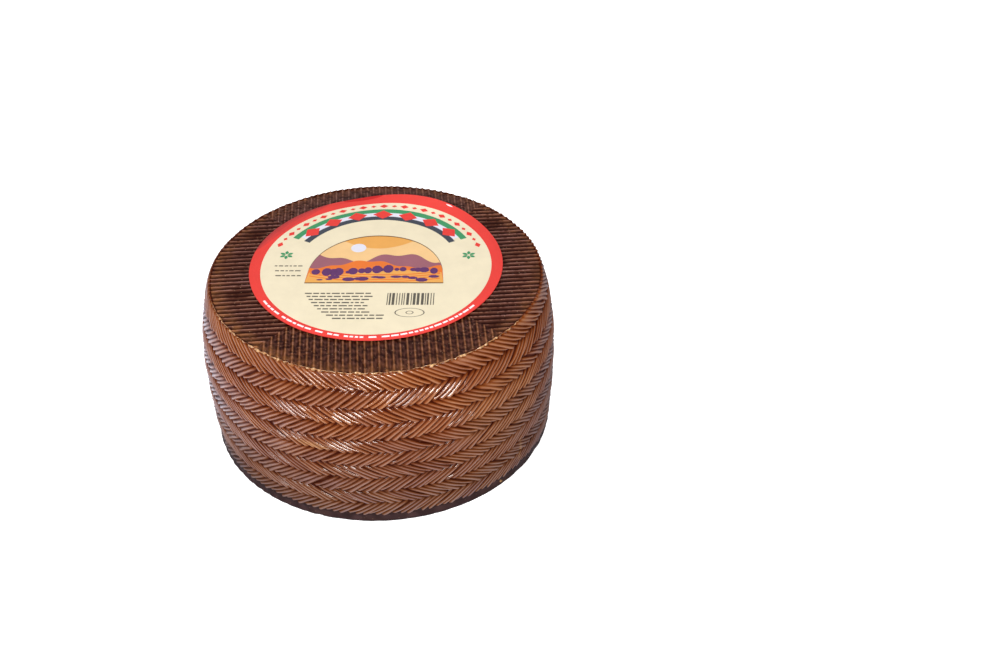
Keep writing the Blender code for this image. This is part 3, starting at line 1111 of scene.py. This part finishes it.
def printMedallion(rng):
    # an evening sky over hills and a field
    half, base, rise = artwork["medallion"]
    sunRadius, sunX, sunY = artwork["sun"]

    def arch(x):
        return base + rise * math.sqrt(max(1.0 - (x / half) ** 2, 0.0)) ** 0.8

    def under(curve):
        return lambda x: min(curve(x), arch(x))

    def level(x):
        return base

    def spread(index, count, margin, slip):
        # places across the medallion, a little uneven
        slipped = index + rng.uniform(-slip, slip)
        return -half + margin + (2.0 * half - 2.0 * margin) * slipped / (count - 1.0)

    glow = under(lambda x: base + 33.0 + 0.02 * x * x)
    far = under(lambda x: base + 24.0 + 3.6 * math.sin(x / 7.5) + 1.8 * math.sin(x / 3.1 + 1.0))
    near = under(lambda x: base + 17.5 + 3.4 * math.sin(x / 9.0 + 2.1) + 0.8 * math.sin(x / 2.3))
    field = under(lambda x: base + 10.5 + 1.6 * math.sin(x / 12.0 + 0.5))
    for title, colour, rule, across, along, height in (
        ("skyInk", "sky", between(level, arch, -half, half), 56, 14, 0.03),
        ("glowInk", "glow", between(far, glow, -half, half), 56, 4, 0.045),
        ("sunInk", "lilac", arc(0.0, sunRadius, 0.0, 360.0, sunX, base + sunY), 24, 2, 0.06),
        ("hillInk", "mauve", between(level, far, -half, half), 72, 6, 0.06),
        ("slopeInk", "orange", between(level, near, -half, half), 72, 5, 0.075),
        ("groundInk", "sky", between(level, field, -half, half), 56, 4, 0.09),
    ):
        printInk(title, artwork[colour], [(rule, across, along)], height)
    trees = []
    for index in range(artwork["trees"]):
        x = spread(index, artwork["trees"], 6.0, 0.3)
        size = rng.uniform(1.3, 2.9)
        y = field(x) + 0.4 * size
        trees.append((arc(0.0, size, 0.0, 360.0, x, y, rng.uniform(0.8, 1.5)), 10, 1))
    for index in range(artwork["shrubs"]):
        x = spread(index, artwork["shrubs"], 7.0, 0.4)
        size, y = rng.uniform(1.6, 3.4), base + rng.uniform(2.8, 6.4)
        trees.append((arc(0.0, size, 0.0, 360.0, x, y, rng.uniform(0.35, 0.6)), 10, 1))
    furrows = []
    for step in range(artwork["furrows"]):
        def crest(x, step=step):
            return min(base + 1.5 + step * 2.1 + 0.0035 * (x - 4.0) ** 2, field(x) - 0.4)

        def trough(x, crest=crest):
            return crest(x) - 0.8

        furrows.append((between(trough, crest, -half + 2.0, half - 2.0), 40, 1))
    printInk("treeInk", artwork["purple"], trees, 0.13)
    printInk("furrowInk", artwork["orange"], furrows, 0.105)
    outline = [(between(under(lambda x: arch(x) - 0.7), arch, -half, half), 96, 1),
               (bar(0.0, base, 2.0 * half, 0.8), 40, 1)]
    printInk("outlineInk", artwork["brown"], outline, 0.15)


def printSmall(rng):
    # rows of small dashes, a block of bars, an oval and two small flowers
    small = []

    def dashRow(x, right, y, longest, height):
        while x < right:
            length = rng.uniform(1.2, longest)
            small.append((bar(x + length / 2.0, y, length, height), 2, 1))
            x += length + artwork["smallGap"]

    for row in range(9):
        y = -28.5 - row * artwork["rowStep"]
        reach = math.sqrt(57.0 ** 2 - y * y) * 0.72
        dashRow(-min(36.0, reach), -3.0 if row < 7 else 4.0, y, 4.6, 1.0)
    for row in range(3):
        dashRow(-55.0 + row * 0.8, -41.5, -3.0 - row * 4.6, 3.4, 0.9)
    x = 8.0
    while x < 33.0:
        width = rng.choice((0.5, 0.5, 0.9, 1.4))
        small.append((bar(x + width / 2.0, -33.5, width, 10.5), 1, 4))
        x += width + rng.choice((0.6, 0.9))
    small.append((arc(7.2, 7.8, 0.0, 360.0, 20.5, -45.5, 0.5), 40, 1))
    small.append((arc(1.6, 2.1, 0.0, 360.0, 20.5, -45.5, 0.7), 16, 1))
    printInk("smallInk", artwork["text"], small, 0.04)
    petals = []
    for side in (-1.0, 1.0):
        for index in range(artwork["petals"]):
            turn = 30.0 + 360.0 / artwork["petals"] * index
            x = side * artwork["flower"][0] + 0.6 * math.cos(math.radians(turn))
            y = artwork["flower"][1] + 0.6 * math.sin(math.radians(turn))
            petals.append((leaf(x, y, 3.4, 1.9, turn), 6, 2))
    printInk("petalInk", artwork["green"], petals, 0.04)


def makeArtwork():
    rng = np.random.default_rng(artwork["seed"])
    printRing(rng)
    printRibbon()
    printMedallion(rng)
    printSmall(rng)


print("label")
place("labelPaper", makePaper(), paperMaterial("labelPaper", grainGroup, sheet["paper"], paperLook),
      "label")
place("ringEdge", makeRingEdge(), paperMaterial("ringEdge", grainGroup, artwork["red"], paperLook),
      "label")
makeArtwork()

# floor, light and camera

studio = {
    "floorSize": 5.0,
    "floorColour": (0.93, 0.93, 0.94),
    "floorRoughness": 0.7,
    "floorSheen": 0.1,
    "floorGlow": 0.75,            # lit from below as well, as a light table is
    "floorBounce": (0.36, 0.35, 0.39),
    "worldColour": (0.90, 0.88, 1.0),
    "worldStrength": 0.04,
    "lights": (
        # name, place, width, height, watts, colour
        ("overheadBox", (0.0, 0.25, 1.5), 1.2, 1.2, 13.8, (1.0, 1.0, 1.0)),
        ("frontLeftBox", (-0.45, -1.26, 0.80), 0.36, 0.4, 11.6, (1.0, 0.98, 0.98)),
        ("frontRightBox", (0.30, -1.31, 0.80), 0.36, 0.4, 19.3, (1.0, 0.97, 0.94)),
        ("backWall", (0.0, 1.9, 1.35), 3.0, 1.6, 8.0, (0.92, 0.90, 1.0)),
        ("leftWall", (-1.7, 0.05, 0.5), 2.2, 1.1, 1.5, (0.80, 0.84, 1.0)),
    ),
    "panels": (
        # light panels lying on the floor, which the rind mirrors
        ("leftPanel", (-0.555, 0.25, 0.002), 0.88, 1.1, 4.5, (0.74, 0.82, 1.0)),
        ("rightPanel", (0.450, 0.0, 0.002), 0.66, 0.9, 0.25, (0.75, 0.84, 1.0)),
    ),
}
view = {
    "lens": 45.9,                 # mm, on a sensor 36 mm wide
    "sensor": 36.0,
    "elevation": math.radians(37.45),
    "distance": 0.7485,
    "right": 0.0670,              # the wheel stands left of the picture's middle
    "up": 0.04284,
}


def splitByCamera(nodes, links, lighting, seen, target):
    # what lights the wheel is one shader, what the camera sees another
    path = nodes.new("ShaderNodeLightPath")
    choose = nodes.new("ShaderNodeMixShader")
    links.new(path.outputs["Is Camera Ray"], choose.inputs["Fac"])
    links.new(lighting, choose.inputs[1])
    links.new(seen, choose.inputs[2])
    links.new(choose.outputs["Shader"], target)


def makeFloor():
    bm = bmesh.new()
    bmesh.ops.create_grid(bm, x_segments=1, y_segments=1, size=studio["floorSize"] / 2.0)
    mesh = meshOf("floor", bm)
    floor = bpy.data.objects.new("floor", mesh)
    bpy.context.scene.collection.objects.link(floor)
    material, nodes, links, shader = newMaterial("paleFloor")
    fill(shader, {
        "Base Color": (*studio["floorColour"], 1.0), "Roughness": studio["floorRoughness"],
        "Specular IOR Level": studio["floorSheen"], "Emission Color": (1.0, 1.0, 1.0, 1.0),
        "Emission Strength": studio["floorGlow"],
    })
    # the wheel gets less back from the floor than the camera sees
    bounce = fill(nodes.new("ShaderNodeBsdfDiffuse"), {"Color": (*studio["floorBounce"], 1.0)})
    splitByCamera(nodes, links, bounce.outputs["BSDF"], shader.outputs["BSDF"],
                  nodes["Material Output"].inputs["Surface"])
    mesh.materials.append(material)


def makeLights():
    target = Vector((0.0, 0.0, wheelHeight / 2.0))
    lamps = [(*entry, target) for entry in studio["lights"]]
    lamps += [(*entry, Vector((*entry[1][:2], 1.0))) for entry in studio["panels"]]
    for name, spot, width, height, watts, colour, aim in lamps:
        light = bpy.data.lights.new(name, "AREA")
        light.shape = "RECTANGLE"
        light.size = width
        light.size_y = height
        light.energy = watts
        light.color = colour
        lamp = bpy.data.objects.new(name, light)
        lamp.location = spot
        lamp.rotation_euler = (aim - Vector(spot)).to_track_quat("-Z", "Y").to_euler()
        lamp.visible_camera = False
        bpy.context.scene.collection.objects.link(lamp)
    world = bpy.data.worlds.new("studio")
    world.use_nodes = True
    nodes, links = world.node_tree.nodes, world.node_tree.links
    sky = fill(nodes["Background"], {
        "Color": (*studio["worldColour"], 1.0), "Strength": studio["worldStrength"],
    })
    paper = fill(nodes.new("ShaderNodeBackground"), {"Color": (1.0, 1.0, 1.0, 1.0)})
    splitByCamera(nodes, links, sky.outputs["Background"], paper.outputs["Background"],
                  nodes["World Output"].inputs["Surface"])
    bpy.context.scene.world = world
    bpy.context.scene.view_settings.view_transform = "Standard"


def makeCamera():
    camera = bpy.data.cameras.new("camera")
    camera.lens = view["lens"]
    camera.sensor_width = view["sensor"]
    camera.clip_start = 0.01
    eye = bpy.data.objects.new("camera", camera)
    tilt = view["elevation"]
    forward = Vector((0.0, math.cos(tilt), -math.sin(tilt)))
    upward = Vector((0.0, math.sin(tilt), math.cos(tilt)))
    aimed = Vector((view["right"], 0.0, 0.0)) + upward * view["up"]
    eye.location = aimed - forward * view["distance"]
    eye.rotation_euler = (math.pi / 2.0 - tilt, 0.0, 0.0)
    bpy.context.scene.collection.objects.link(eye)
    bpy.context.scene.camera = eye


print("studio")
makeFloor()
makeLights()
makeCamera()
